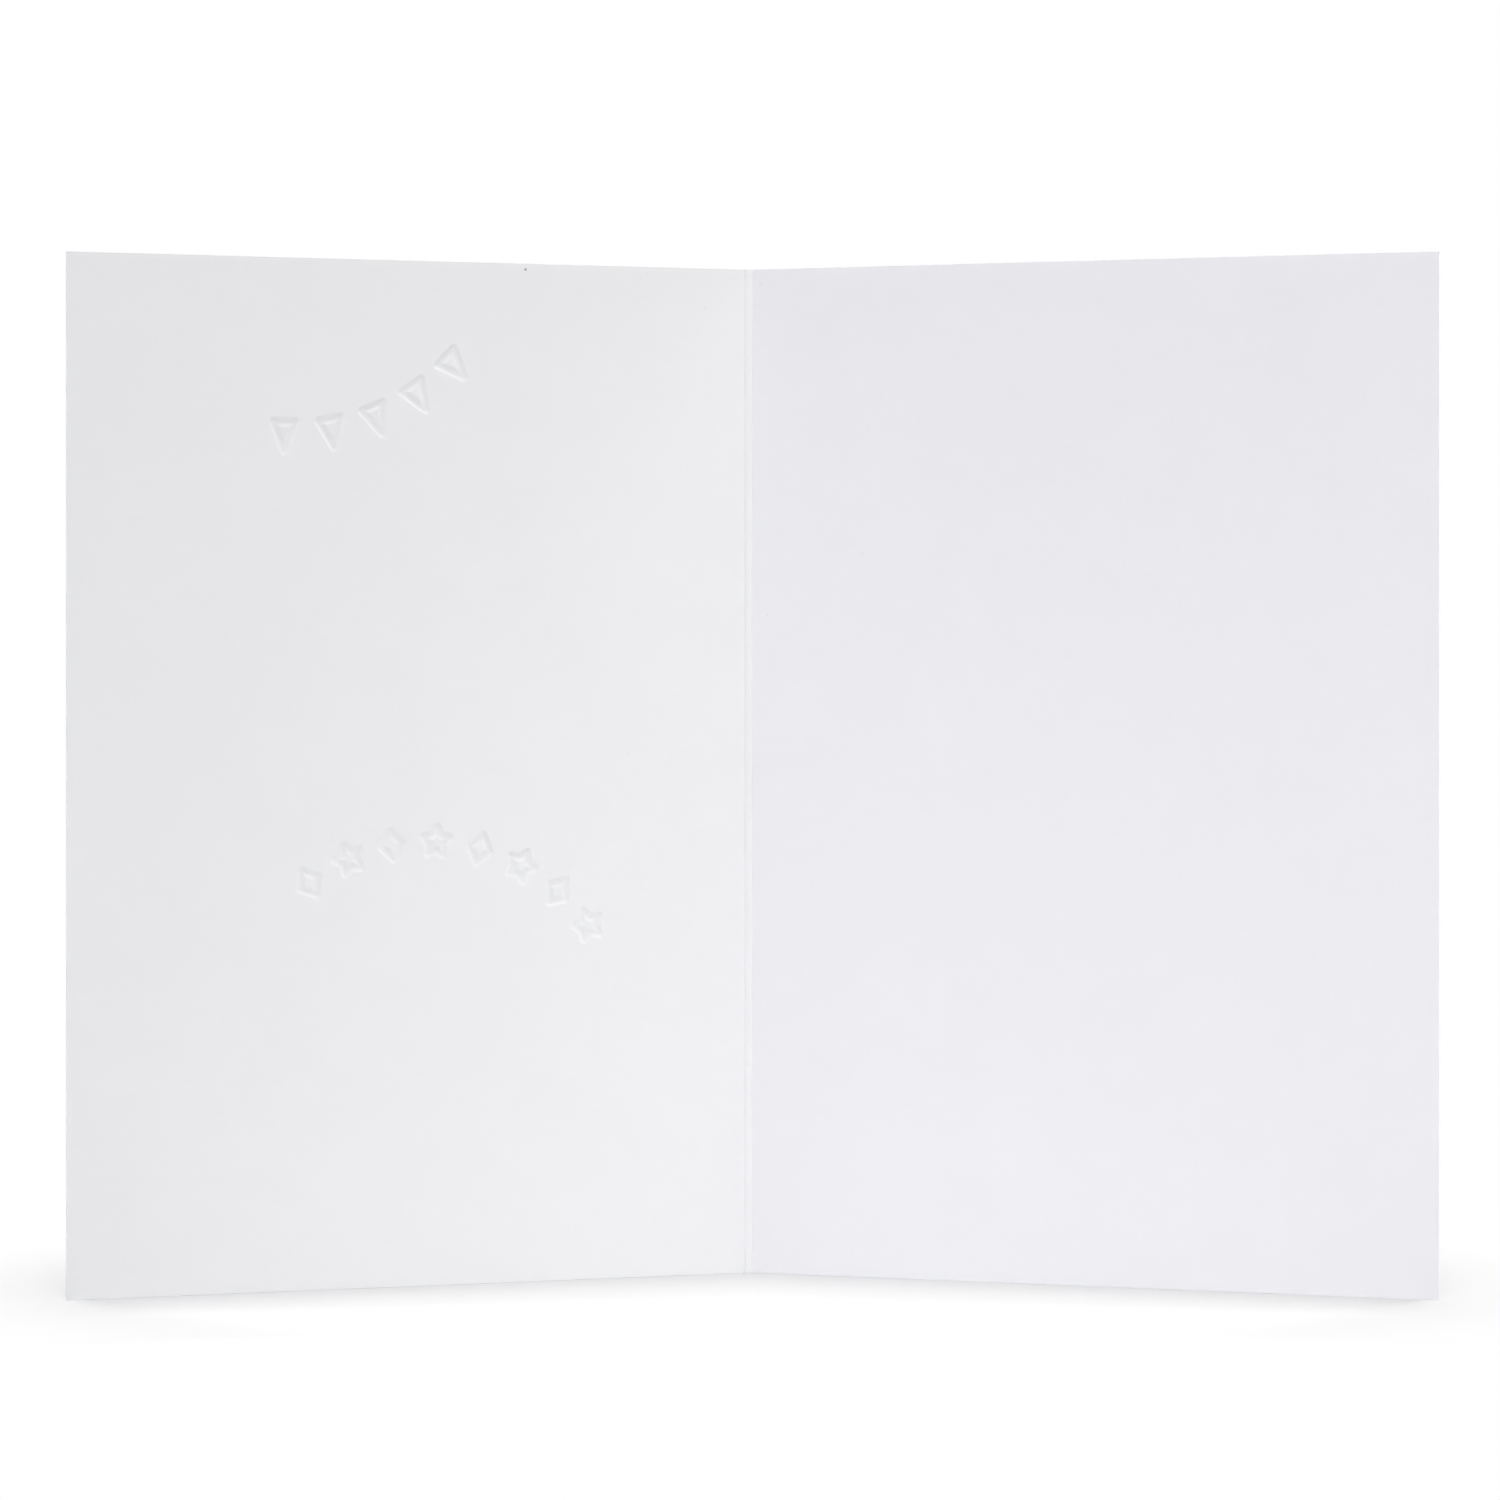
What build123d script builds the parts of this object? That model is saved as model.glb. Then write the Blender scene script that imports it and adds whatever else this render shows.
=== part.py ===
from build123d import *
import os
from math import cos, radians, sin, tan

# A folded greeting card, standing open on its lower edges and seen from the inside.
# X runs to the viewer's right, +Y away from them and +Z up. The fold is at the back and both
# panels come forward from it. The origin is under the middle of the card, where it stands.

# The folded sheet of board
panel_width = 127.0  # from the fold to the fore edge, along the sheet
panel_height = 177.8
stock = 0.4  # thickness of the board
opening_angle = 132.5  # between the two inside faces

# The crease: its channel is pressed into the outside, and a bead stands along the inside
bead_width = 1.4
bead_top = 0.8  # width of its flat top
bead_rise = 0.22  # from the line between its feet to its top
foot_radius = 0.06  # where the bead meets a panel
shoulder_radius = 0.15
channel_width = 1.1
channel_depth = 0.2
lip_radius = 0.25  # where the channel meets a panel

# Blind relief in the left-hand panel: sunk in the inside face and proud of the outside face
relief = 0.3
stroke = 1.1  # width of a line of the relief, at half its depth
wall_slope = 30.0  # of a line's sides, from the face of the sheet

# Two rows of marks follow arcs. Angles turn left from the direction of the fold.
hanging_across = 23.1  # from the middle of the panel to the arc's centre, away from the fold
hanging_above = 12.8  # from the upper edge up to the arc's centre
hanging_radius = 43.6
hanging_start = -91.4
hanging_sweep = 45.9
hanging_count = 5
arching_across = 2.2  # from the middle of the panel to the arc's centre, towards the fold
arching_above = 38.6  # from the lower edge up to the arc's centre
arching_radius = 38.4
arching_start = 37.7
arching_sweep = 86.9
arching_count = 8

# The marks, measured along the middle of their lines
pennant_width = 4.2
pennant_drop = 4.9
diamond_width = 3.9
diamond_height = 4.9
star_radius = 2.6
star_waist = 1.45  # from the middle to an inner corner
star_points = 5

lean = radians(90 - opening_angle / 2)  # of each panel, from the X direction


def on_panel(distance, depth):
    """Section point of the right-hand panel: distance from the fold, depth into the board."""
    return (
        distance * cos(lean) + depth * sin(lean),
        depth * cos(lean) - distance * sin(lean),
    )


def mirrored(point):
    """The same section point on the left-hand panel."""
    return (-point[0], point[1])


# The section of the sheet, drawn about the line where the two inside faces would meet
bead_foot = on_panel(bead_width / 2 / cos(lean), 0)
bead_shoulder = (bead_top / 2, bead_foot[1] - bead_rise)
inside_edge = on_panel(panel_width, 0)
outside_edge = on_panel(panel_width, stock)
channel_lip = (channel_width / 2, stock / cos(lean) - channel_width / 2 * tan(lean))
channel_floor = (0, channel_lip[1] - channel_depth)

with BuildSketch() as section:
    with BuildLine():
        half = (bead_shoulder, bead_foot, inside_edge, outside_edge, channel_lip)
        Polyline(*half)
        ThreePointArc(channel_lip, channel_floor, mirrored(channel_lip))
        Polyline(*[mirrored(point) for point in reversed(half)])
        Line(mirrored(bead_shoulder), bead_shoulder)
    make_face()
    for level, radius in ((-1, lip_radius), (1, foot_radius), (0, shoulder_radius)):
        crease = section.vertices().filter_by_position(Axis.X, -bead_width, bead_width)
        fillet(crease.group_by(Axis.Y)[level], radius=radius)

# The marks
pennant = [
    (-pennant_width / 2, pennant_drop / 2),
    (pennant_width / 2, pennant_drop / 2),
    (0, -pennant_drop / 2),
]
diamond = [
    (0, diamond_height / 2),
    (diamond_width / 2, 0),
    (0, -diamond_height / 2),
    (-diamond_width / 2, 0),
]
star = []
for corner in range(2 * star_points):
    reach = star_waist if corner % 2 else star_radius
    turn = radians(corner * 180 / star_points)
    star.append((reach * sin(turn), reach * cos(turn)))


def line_round(corners, width):
    """A closed line of the given width, drawn through the corners."""
    with BuildSketch() as middle:
        with BuildLine():
            Polyline(*corners, close=True)
        make_face()
    with BuildSketch() as band:
        offset(middle.sketch, amount=width / 2, kind=Kind.ARC, mode=Mode.ADD)
        offset(middle.sketch, amount=-width / 2, kind=Kind.INTERSECTION, mode=Mode.SUBTRACT)
    return band.sketch


hanging_centre = (-panel_width / 2 - hanging_across, panel_height + hanging_above)
arching_centre = (-panel_width / 2 + arching_across, arching_above)


def rows_of_marks(width):
    """Both rows, with their marks upright on the arcs. The fold is at the right, at X = 0."""
    with BuildSketch() as rows:
        with Locations(hanging_centre):
            with PolarLocations(
                hanging_radius, hanging_count, hanging_start, hanging_sweep, endpoint=True
            ):
                add(line_round(pennant, width), rotation=90)
        for index in range(arching_count):
            angle = arching_start + index * arching_sweep / (arching_count - 1)
            corners = diamond if index % 2 else star
            with Locations(arching_centre):
                with PolarLocations(arching_radius, 1, angle):
                    add(line_round(corners, width), rotation=-90)
    return rows.sketch


# The card
section_middle = section.sketch.bounding_box().center().Y
cover_inside = Plane(
    origin=(0, -section_middle, 0),
    x_dir=(cos(lean), sin(lean), 0),
    z_dir=(sin(lean), -cos(lean), 0),
)
side_width = relief / tan(radians(wall_slope))  # of a line's sloping side
outside_gain = 2 * stock * tan(radians(wall_slope / 2))  # lines are this much wider outside

with BuildPart() as card:
    with BuildSketch(Plane(origin=(0, -section_middle, 0))):
        add(section.sketch)
    extrude(amount=panel_height)
    with BuildSketch(cover_inside):
        add(rows_of_marks(stroke + side_width))
    extrude(amount=-relief, taper=90 - wall_slope, mode=Mode.SUBTRACT)
    with BuildSketch(cover_inside.offset(-stock)):
        add(rows_of_marks(stroke + side_width + outside_gain))
    extrude(amount=-relief, taper=90 - wall_slope)

card.part.label = "card"
os.makedirs("parts", exist_ok=True)
export_step(card.part, "parts/card.step")
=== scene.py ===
import bpy
import bmesh
from math import cos, pi, radians, sin, tan
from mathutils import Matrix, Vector


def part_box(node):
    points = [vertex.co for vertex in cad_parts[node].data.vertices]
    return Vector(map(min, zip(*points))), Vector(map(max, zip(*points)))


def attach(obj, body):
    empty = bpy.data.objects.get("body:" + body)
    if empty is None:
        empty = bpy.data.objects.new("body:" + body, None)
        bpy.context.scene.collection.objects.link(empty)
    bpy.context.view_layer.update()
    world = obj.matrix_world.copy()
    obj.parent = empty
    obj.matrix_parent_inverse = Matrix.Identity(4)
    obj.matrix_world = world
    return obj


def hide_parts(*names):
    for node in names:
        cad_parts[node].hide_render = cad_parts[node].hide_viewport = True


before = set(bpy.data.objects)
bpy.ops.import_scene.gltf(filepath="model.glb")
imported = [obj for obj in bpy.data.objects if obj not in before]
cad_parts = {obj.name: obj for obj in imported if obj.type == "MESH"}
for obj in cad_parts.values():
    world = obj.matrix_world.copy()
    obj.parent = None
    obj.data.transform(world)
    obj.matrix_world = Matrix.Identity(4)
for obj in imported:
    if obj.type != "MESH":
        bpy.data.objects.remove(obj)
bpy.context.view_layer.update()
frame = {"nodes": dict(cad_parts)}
print("frame loaded:", ", ".join(frame["nodes"]))

# the card stands on z = 0, with its fold at the back (+y) and its inside towards -y
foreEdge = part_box("card")[0].y

# the fold: how far each panel leans from the X direction, and a panel's width along its inside face
fold = {"lean": radians(23.75), "panelWidth": 0.127}
fold["inside"] = foreEdge + fold["panelWidth"] * sin(fold["lean"])  # y where the inside faces would meet
fold["panelEnd"] = fold["panelWidth"] * cos(fold["lean"])  # x of a panel's inner corner


def onInside(x, z):
    return Vector((x, fold["inside"] - abs(x) * tan(fold["lean"]), z))


def linkObject(name, data):
    obj = bpy.data.objects.new(name, data)
    bpy.context.scene.collection.objects.link(obj)
    return obj


# camera: level, square to the fore edges, with the lens shifted as in the photograph
shot = {
    "across": -0.0162,  # left of the fold
    "height": 0.1069,
    "distance": 1.1117,  # from the fore edges
    "lens": 157.44,
    "sensor": 36,
    "shiftX": 0.062,
    "shiftY": -0.0536,
    "clip": (0.05, 30),
}


def makeCamera():
    data = bpy.data.cameras.new("camera")
    data.lens = shot["lens"]
    data.sensor_width = shot["sensor"]
    data.shift_x = shot["shiftX"]
    data.shift_y = shot["shiftY"]
    data.clip_start, data.clip_end = shot["clip"]
    camera = linkObject("camera", data)
    camera.location = (shot["across"], foreEdge - shot["distance"], shot["height"])
    camera.rotation_euler = (pi / 2, 0, 0)
    bpy.context.scene.camera = camera


makeCamera()
print("camera set")

pureWhite = (1, 1, 1, 1)  # the background, on the floor and in the room


# node helpers: each input is given a plain value or the socket that feeds it
def newMaterial(name):
    material = bpy.data.materials.new(name)
    material.use_nodes = True
    material.node_tree.nodes.clear()
    return material, material.node_tree


def addNode(tree, kind, inputs=None, **settings):
    node = tree.nodes.new(kind)
    for key, value in settings.items():
        setattr(node, key, value)
    for key, value in (inputs or {}).items():
        if isinstance(value, bpy.types.NodeSocket):
            tree.links.new(value, node.inputs[key])
        else:
            node.inputs[key].default_value = value
    return node


def addMath(tree, operation, *values):
    return addNode(tree, "ShaderNodeMath", dict(enumerate(values)), operation=operation).outputs[0]


def addRange(tree, value, start, end, first, last, **settings):
    inputs = {"Value": value, "From Min": start, "From Max": end, "To Min": first, "To Max": last}
    return addNode(tree, "ShaderNodeMapRange", inputs, **settings).outputs["Result"]


def addMix(tree, factor, first, second):
    inputs = {0: factor, 6: first, 7: second}  # 6 and 7 are this node's colours
    return addNode(tree, "ShaderNodeMix", inputs, data_type="RGBA").outputs[2]


def addNoise(tree, place, grain):
    return addNode(tree, "ShaderNodeTexNoise", {"Vector": place, **grain}).outputs["Fac"]


def addBump(tree, height, depth, **more):
    inputs = {"Height": height, "Distance": depth, **more}
    return addNode(tree, "ShaderNodeBump", inputs).outputs["Normal"]


# the board's finish
board = {
    "colour": (0.875, 0.875, 0.885, 1),
    "shade": (0.847, 0.847, 0.859, 1),
    "cloud": {"Scale": 60, "Detail": 5, "Roughness": 0.78},  # where it is colour and where shade
    "roughness": 0.86,
    "wave": {"Scale": 26, "Detail": 1},  # slow, in the whole sheet
    "waveDepth": 0.00005,
    "tooth": {"Scale": 3800, "Detail": 3, "Roughness": 0.6},
    "toothDepth": 0.000012,
    "cutColour": (0.86, 0.855, 0.84, 1),
    "cutShade": (0.76, 0.755, 0.74, 1),
    "layers": {"Scale": 1, "Detail": 3, "Roughness": 0.6},
    "layerScale": (900, 900, 14000),  # along the upper and lower cuts, along the fore edges, through
    "layerDepth": 0.00003,
    "speckColour": (0.2, 0.14, 0.15, 1),
    "speckRim": {"Scale": 9000, "Detail": 1},  # how ragged it is
    "speckCore": 0.6,  # share of the radius that is fully dark
    "specks": [  # on the inside: x, z, radius, darkening
        (-0.03916, 0.17677, 0.00026, 0.75),
        (-0.01787, 0.17664, 0.0002, 0.1),
        (-0.00763, 0.1709, 0.0002, 0.16),
        (-0.02121, 0.09215, 0.00026, 0.1),
        (0.02013, 0.1275, 0.0002, 0.09),
        (0.00213, 0.17511, 0.00022, 0.09),
        (0.00336, 0.11648, 0.00024, 0.1),
    ],
}


def addSpecks(tree, place, colour):
    ragged = addNoise(tree, place, board["speckRim"])
    for x, z, radius, darkening in board["specks"]:
        ends = {0: place, 1: onInside(x, z)}
        away = addNode(tree, "ShaderNodeVectorMath", ends, operation="DISTANCE").outputs["Value"]
        uneven = addMath(tree, "MULTIPLY_ADD", ragged, radius, -radius / 2)  # in and out alike
        reach = addMath(tree, "ADD", away, uneven)
        core = radius * board["speckCore"]
        mark = addRange(tree, reach, core, radius, darkening, 0.0, interpolation_type="SMOOTHSTEP")
        colour = addMix(tree, mark, colour, board["speckColour"])
    return colour


# the sheet's layers, drawn out along the board
def addLayers(tree, place):
    parts = addNode(tree, "ShaderNodeSeparateXYZ", {0: place})
    across = addMath(tree, "ABSOLUTE", parts.outputs["X"])
    back = addMath(tree, "MULTIPLY", parts.outputs["Y"], cos(fold["lean"]))
    through = addMath(tree, "MULTIPLY_ADD", across, sin(fold["lean"]), back)
    inBoard = addNode(tree, "ShaderNodeCombineXYZ", {"X": across, "Y": parts.outputs["Z"], "Z": through})
    scaling = {0: inBoard.outputs["Vector"], 1: board["layerScale"]}
    drawn = addNode(tree, "ShaderNodeVectorMath", scaling, operation="MULTIPLY")
    return addNoise(tree, drawn.outputs["Vector"], board["layers"])


def makeBoard():
    material, tree = newMaterial("board")
    place = addNode(tree, "ShaderNodeTexCoord").outputs["Object"]
    cloud = addNoise(tree, place, board["cloud"])
    colour = addMix(tree, cloud, board["colour"], board["shade"])
    colour = addSpecks(tree, place, colour)
    layers = addLayers(tree, place)
    isCut = addNode(tree, "ShaderNodeAttribute", attribute_name="cut").outputs["Fac"]
    cutColour = addMix(tree, layers, board["cutColour"], board["cutShade"])
    colour = addMix(tree, isCut, colour, cutColour)

    # the wave, the tooth on it, and the layers where the board is cut
    normal = addBump(tree, addNoise(tree, place, board["wave"]), board["waveDepth"])
    tooth = addNoise(tree, place, board["tooth"])
    normal = addBump(tree, tooth, board["toothDepth"], Normal=normal)
    normal = addBump(tree, layers, board["layerDepth"], Normal=normal, Strength=isCut)
    finish = {"Base Color": colour, "Roughness": board["roughness"], "Normal": normal}
    shader = addNode(tree, "ShaderNodeBsdfPrincipled", finish)
    addNode(tree, "ShaderNodeOutputMaterial", {"Surface": shader.outputs["BSDF"]})
    return material


# the card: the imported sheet, with the rims of its relief and of its cut edges eased
sheet = {
    "weld": 0.000001,  # corners nearer than this become one
    "flatTurn": radians(0.3),  # edges that turn less are dissolved
    "rimTurn": radians(20),  # edges that turn more are rims of the relief
    "cutTurn": radians(70),  # and from here on they are rims of the cut edges
    "creaseReach": 0.002,  # no relief is sought nearer the fold
    "rimEase": 0.00014,
    "rimSteps": 3,
    "cutEase": 0.00004,
    "cutSteps": 2,
    "cutNormal": 0.99,  # a cut face looks up, down or along its panel at least this squarely
}


def isRim(edge):
    if not edge.is_manifold or max(abs(vert.co.x) for vert in edge.verts) <= sheet["creaseReach"]:
        return False
    return sheet["rimTurn"] < edge.calc_face_angle() < sheet["cutTurn"]


# clamped, every rim of the relief would be held to what the shortest one has room for
def easeEdges(bm, edges, offset, steps, clamp):
    bmesh.ops.bevel(
        bm,
        geom=edges,
        offset=offset,
        offset_type="OFFSET",
        affect="EDGES",
        segments=steps,
        profile=0.5,
        material=-1,
        clamp_overlap=clamp,
    )


def isCutFace(face):
    alongPanel = Vector((cos(fold["lean"]), -sin(fold["lean"]), 0))
    mirrored = Vector((abs(face.normal.x), face.normal.y, 0))
    return abs(face.normal.z) > sheet["cutNormal"] or mirrored.dot(alongPanel) > sheet["cutNormal"]


def makeCard(material):
    bm = bmesh.new()
    bm.from_mesh(frame["nodes"]["card"].data)
    bmesh.ops.remove_doubles(bm, verts=bm.verts, dist=sheet["weld"])
    bmesh.ops.dissolve_limit(bm, angle_limit=sheet["flatTurn"], verts=bm.verts, edges=bm.edges)
    rims = [edge for edge in bm.edges if isRim(edge)]
    easeEdges(bm, rims, sheet["rimEase"], sheet["rimSteps"], False)
    cuts = [edge for edge in bm.edges if edge.is_manifold and edge.calc_face_angle() > sheet["cutTurn"]]
    easeEdges(bm, cuts, sheet["cutEase"], sheet["cutSteps"], True)
    bm.normal_update()
    cutLayer = bm.faces.layers.float.new("cut")
    for face in bm.faces:
        face.smooth = True
        face[cutLayer] = 1.0 if isCutFace(face) else 0.0
    mesh = bpy.data.meshes.new("cardSheet")
    bm.to_mesh(mesh)
    bm.free()
    card = linkObject("cardSheet", mesh)
    mesh.materials.append(material)
    card.modifiers.new("normals", "WEIGHTED_NORMAL")
    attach(card, "root")
    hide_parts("card")
    return card


boardMaterial = makeBoard()
card = makeCard(boardMaterial)
print("card made:", len(card.data.polygons), "faces")

# the floor takes the light and the card's shadow, and to the eye it is white further out; inside the fold a
# shadow is also painted into its colour along the foot of the panels
floor = {
    "size": 12.0,
    "drop": 0.00002,
    "colour": (0.9, 0.9, 0.9, 1),  # in the light that it gives back
    "seen": (0.83, 0.83, 0.83, 1),  # to the eye, so that the card's shadow tells
    "near": 0.08,  # the eye sees it as lit up to here, and pure white from far on
    "far": 0.16,
    # painted shadow: the floor's colour to the eye, darker along the foot of the panels inside the fold,
    # fading to white over the reach below
    "foot": (0.672, 0.672, 0.672, 1),  # to the eye, along the foot of the panels, inside
    "paintedShadowReach": (0.044, 0.031),  # from there to pure white, at the fold and at the panels' ends
    "paintedShadowEase": 0.004,  # the darker foot fades out over this much before the panels' ends
    "paintedShadowTaper": 0.6,  # and over this much more for each metre in front of them
    "clear": (0.03, 0.08),  # between these, in front of the panels, it turns pure white in any case
}


# inside the fold a soft shadow is painted into the floor's colour, darker towards the foot of the panels
def addPaintedFootShadow(tree, place, lift):
    parts = addNode(tree, "ShaderNodeSeparateXYZ", {0: place})
    across = addMath(tree, "ABSOLUTE", parts.outputs["X"])
    panelFoot = addMath(tree, "MULTIPLY_ADD", across, -tan(fold["lean"]), fold["inside"])
    inFront = addMath(tree, "SUBTRACT", panelFoot, parts.outputs["Y"])
    reach = addRange(tree, across, 0.0, fold["panelEnd"], *floor["paintedShadowReach"])
    paintedShadowFade = addRange(tree, inFront, 0.0, reach, 0.0, 1.0)

    taper = addMath(tree, "MULTIPLY_ADD", inFront, floor["paintedShadowTaper"], floor["paintedShadowEase"])
    toEnd = addMath(tree, "SUBTRACT", fold["panelEnd"], across)
    paintedShadowShare = addMath(tree, "DIVIDE", toEnd, taper)
    paintedShadowShare = addRange(tree, paintedShadowShare, 0.0, 1.0, 0.0, 1.0, interpolation_type="SMOOTHSTEP")
    paintedShadowShare = addMath(tree, "MULTIPLY", paintedShadowShare, addMath(tree, "GREATER_THAN", inFront, 0.0))

    inputs = {0: paintedShadowShare, 2: lift, 3: paintedShadowFade}  # 2 and 3 are this node's plain numbers
    lift = addNode(tree, "ShaderNodeMix", inputs).outputs[0]
    lift = addMath(tree, "MAXIMUM", lift, addRange(tree, inFront, *floor["clear"], 0.0, 1.0))
    # the painted shadow: the darker foot colour mixed into the floor's colour as the eye sees it
    return lift, addMix(tree, paintedShadowShare, floor["seen"], floor["foot"])


def makeFloorPaper():
    material, tree = newMaterial("floorPaper")
    place = addNode(tree, "ShaderNodeTexCoord").outputs["Object"]
    away = addNode(tree, "ShaderNodeVectorMath", {0: place}, operation="LENGTH").outputs["Value"]
    lift = addRange(tree, away, floor["near"], floor["far"], 0.0, 1.0, interpolation_type="SMOOTHSTEP")
    # the floor's colour to the eye, with the painted shadow along the panels' foot
    lift, seenColourWithPaintedShadow = addPaintedFootShadow(tree, place, lift)
    lit = addNode(tree, "ShaderNodeBsdfDiffuse", {"Color": floor["colour"]}).outputs["BSDF"]
    seenLit = addNode(tree, "ShaderNodeBsdfDiffuse", {"Color": seenColourWithPaintedShadow}).outputs["BSDF"]
    pure = addNode(tree, "ShaderNodeEmission", {"Color": pureWhite, "Strength": 1.0})
    faded = addNode(tree, "ShaderNodeMixShader", {0: lift, 1: seenLit, 2: pure.outputs["Emission"]})
    byEye = addNode(tree, "ShaderNodeLightPath").outputs["Is Camera Ray"]
    pick = addNode(tree, "ShaderNodeMixShader", {0: byEye, 1: lit, 2: faded.outputs["Shader"]})
    addNode(tree, "ShaderNodeOutputMaterial", {"Surface": pick.outputs["Shader"]})
    return material


def makeFloor():
    bm = bmesh.new()
    bmesh.ops.create_grid(bm, x_segments=1, y_segments=1, size=floor["size"] / 2)
    bmesh.ops.translate(bm, verts=bm.verts, vec=(0, 0, -floor["drop"]))
    mesh = bpy.data.meshes.new("floor")
    bm.to_mesh(mesh)
    bm.free()
    obj = linkObject("floor", mesh)
    mesh.materials.append(makeFloorPaper())


makeFloor()

# light: soft lamps overhead and high in front, one at the left, low ones in front, weak ones behind
middle = (0, 0, 0.089)  # of the card's height
foot, aboveFoot = (0, 0, 0), (0, 0, 0.03)
white, cream, lilac, paleBlue = (1, 1, 1), (1, 1, 0.95), (0.845, 0.83, 1), (0.84, 0.86, 1)
lamps = {
    "over": {"at": (0, -0.052, 0.687), "to": middle, "size": 0.35, "power": 1.34, "colour": white},
    "overRight": {"at": (0.2, -0.12, 0.65), "to": middle, "size": 0.35, "power": 0.51, "colour": white},
    "highFront": {"at": (0, -1.2, 2.6), "to": middle, "size": 0.8, "power": 27.2, "colour": white},
    "sideLeft": {"at": (-0.555, -0.202, 0.193), "to": middle, "size": 0.35, "power": 0.64, "colour": lilac},
    "lowFront": {"at": (0.25, -0.5, 0.04), "to": foot, "size": 0.06, "power": 0.32, "colour": white},
    "lowRight": {"at": (0.45, -0.25, 0.06), "to": foot, "size": 0.1, "power": 0.38, "colour": cream},
    "lowLeft": {"at": (-0.6, -0.3, 0.06), "to": aboveFoot, "size": 0.12, "power": 0.51, "colour": paleBlue},
    "highBack": {"at": (0, 0.25, 1.1), "to": middle, "size": 0.4, "power": 2.5, "colour": white},
    "backLeft": {"at": (-0.9, 1.3, 0.2), "to": middle, "size": 0.4, "power": 7, "colour": white},
    "backRight": {"at": (1.2, 0.75, 0.2), "to": middle, "size": 0.3, "power": 6.5, "colour": white},
}
room = {"colour": pureWhite, "strength": 0.08}


def makeLamps():
    for name, lamp in lamps.items():
        data = bpy.data.lights.new(name, "AREA")
        data.shape = "DISK"
        data.size = lamp["size"]
        data.energy = lamp["power"]
        data.color = lamp["colour"]
        obj = linkObject(name, data)
        obj.visible_camera = False
        obj.location = lamp["at"]
        towards = Vector(lamp["to"]) - obj.location
        obj.rotation_euler = towards.to_track_quat("-Z", "Y").to_euler()


# the room gives a weak light, and is pure white where it is seen
def makeRoom():
    world = bpy.data.worlds.new("room")
    bpy.context.scene.world = world
    world.use_nodes = True
    tree = world.node_tree
    tree.nodes.clear()
    rays = addNode(tree, "ShaderNodeLightPath")
    seen = addMath(tree, "MAXIMUM", rays.outputs["Is Camera Ray"], rays.outputs["Is Glossy Ray"])
    seen = addMath(tree, "MAXIMUM", seen, rays.outputs["Is Transmission Ray"])
    soft = addNode(tree, "ShaderNodeBackground", {"Color": room["colour"], "Strength": room["strength"]})
    pure = addNode(tree, "ShaderNodeBackground", {"Color": pureWhite, "Strength": 1.0})
    inputs = {0: seen, 1: soft.outputs["Background"], 2: pure.outputs["Background"]}
    pick = addNode(tree, "ShaderNodeMixShader", inputs)
    addNode(tree, "ShaderNodeOutputWorld", {"Surface": pick.outputs["Shader"]})


makeLamps()
makeRoom()
bpy.context.scene.view_settings.view_transform = "Standard"
print("light set")
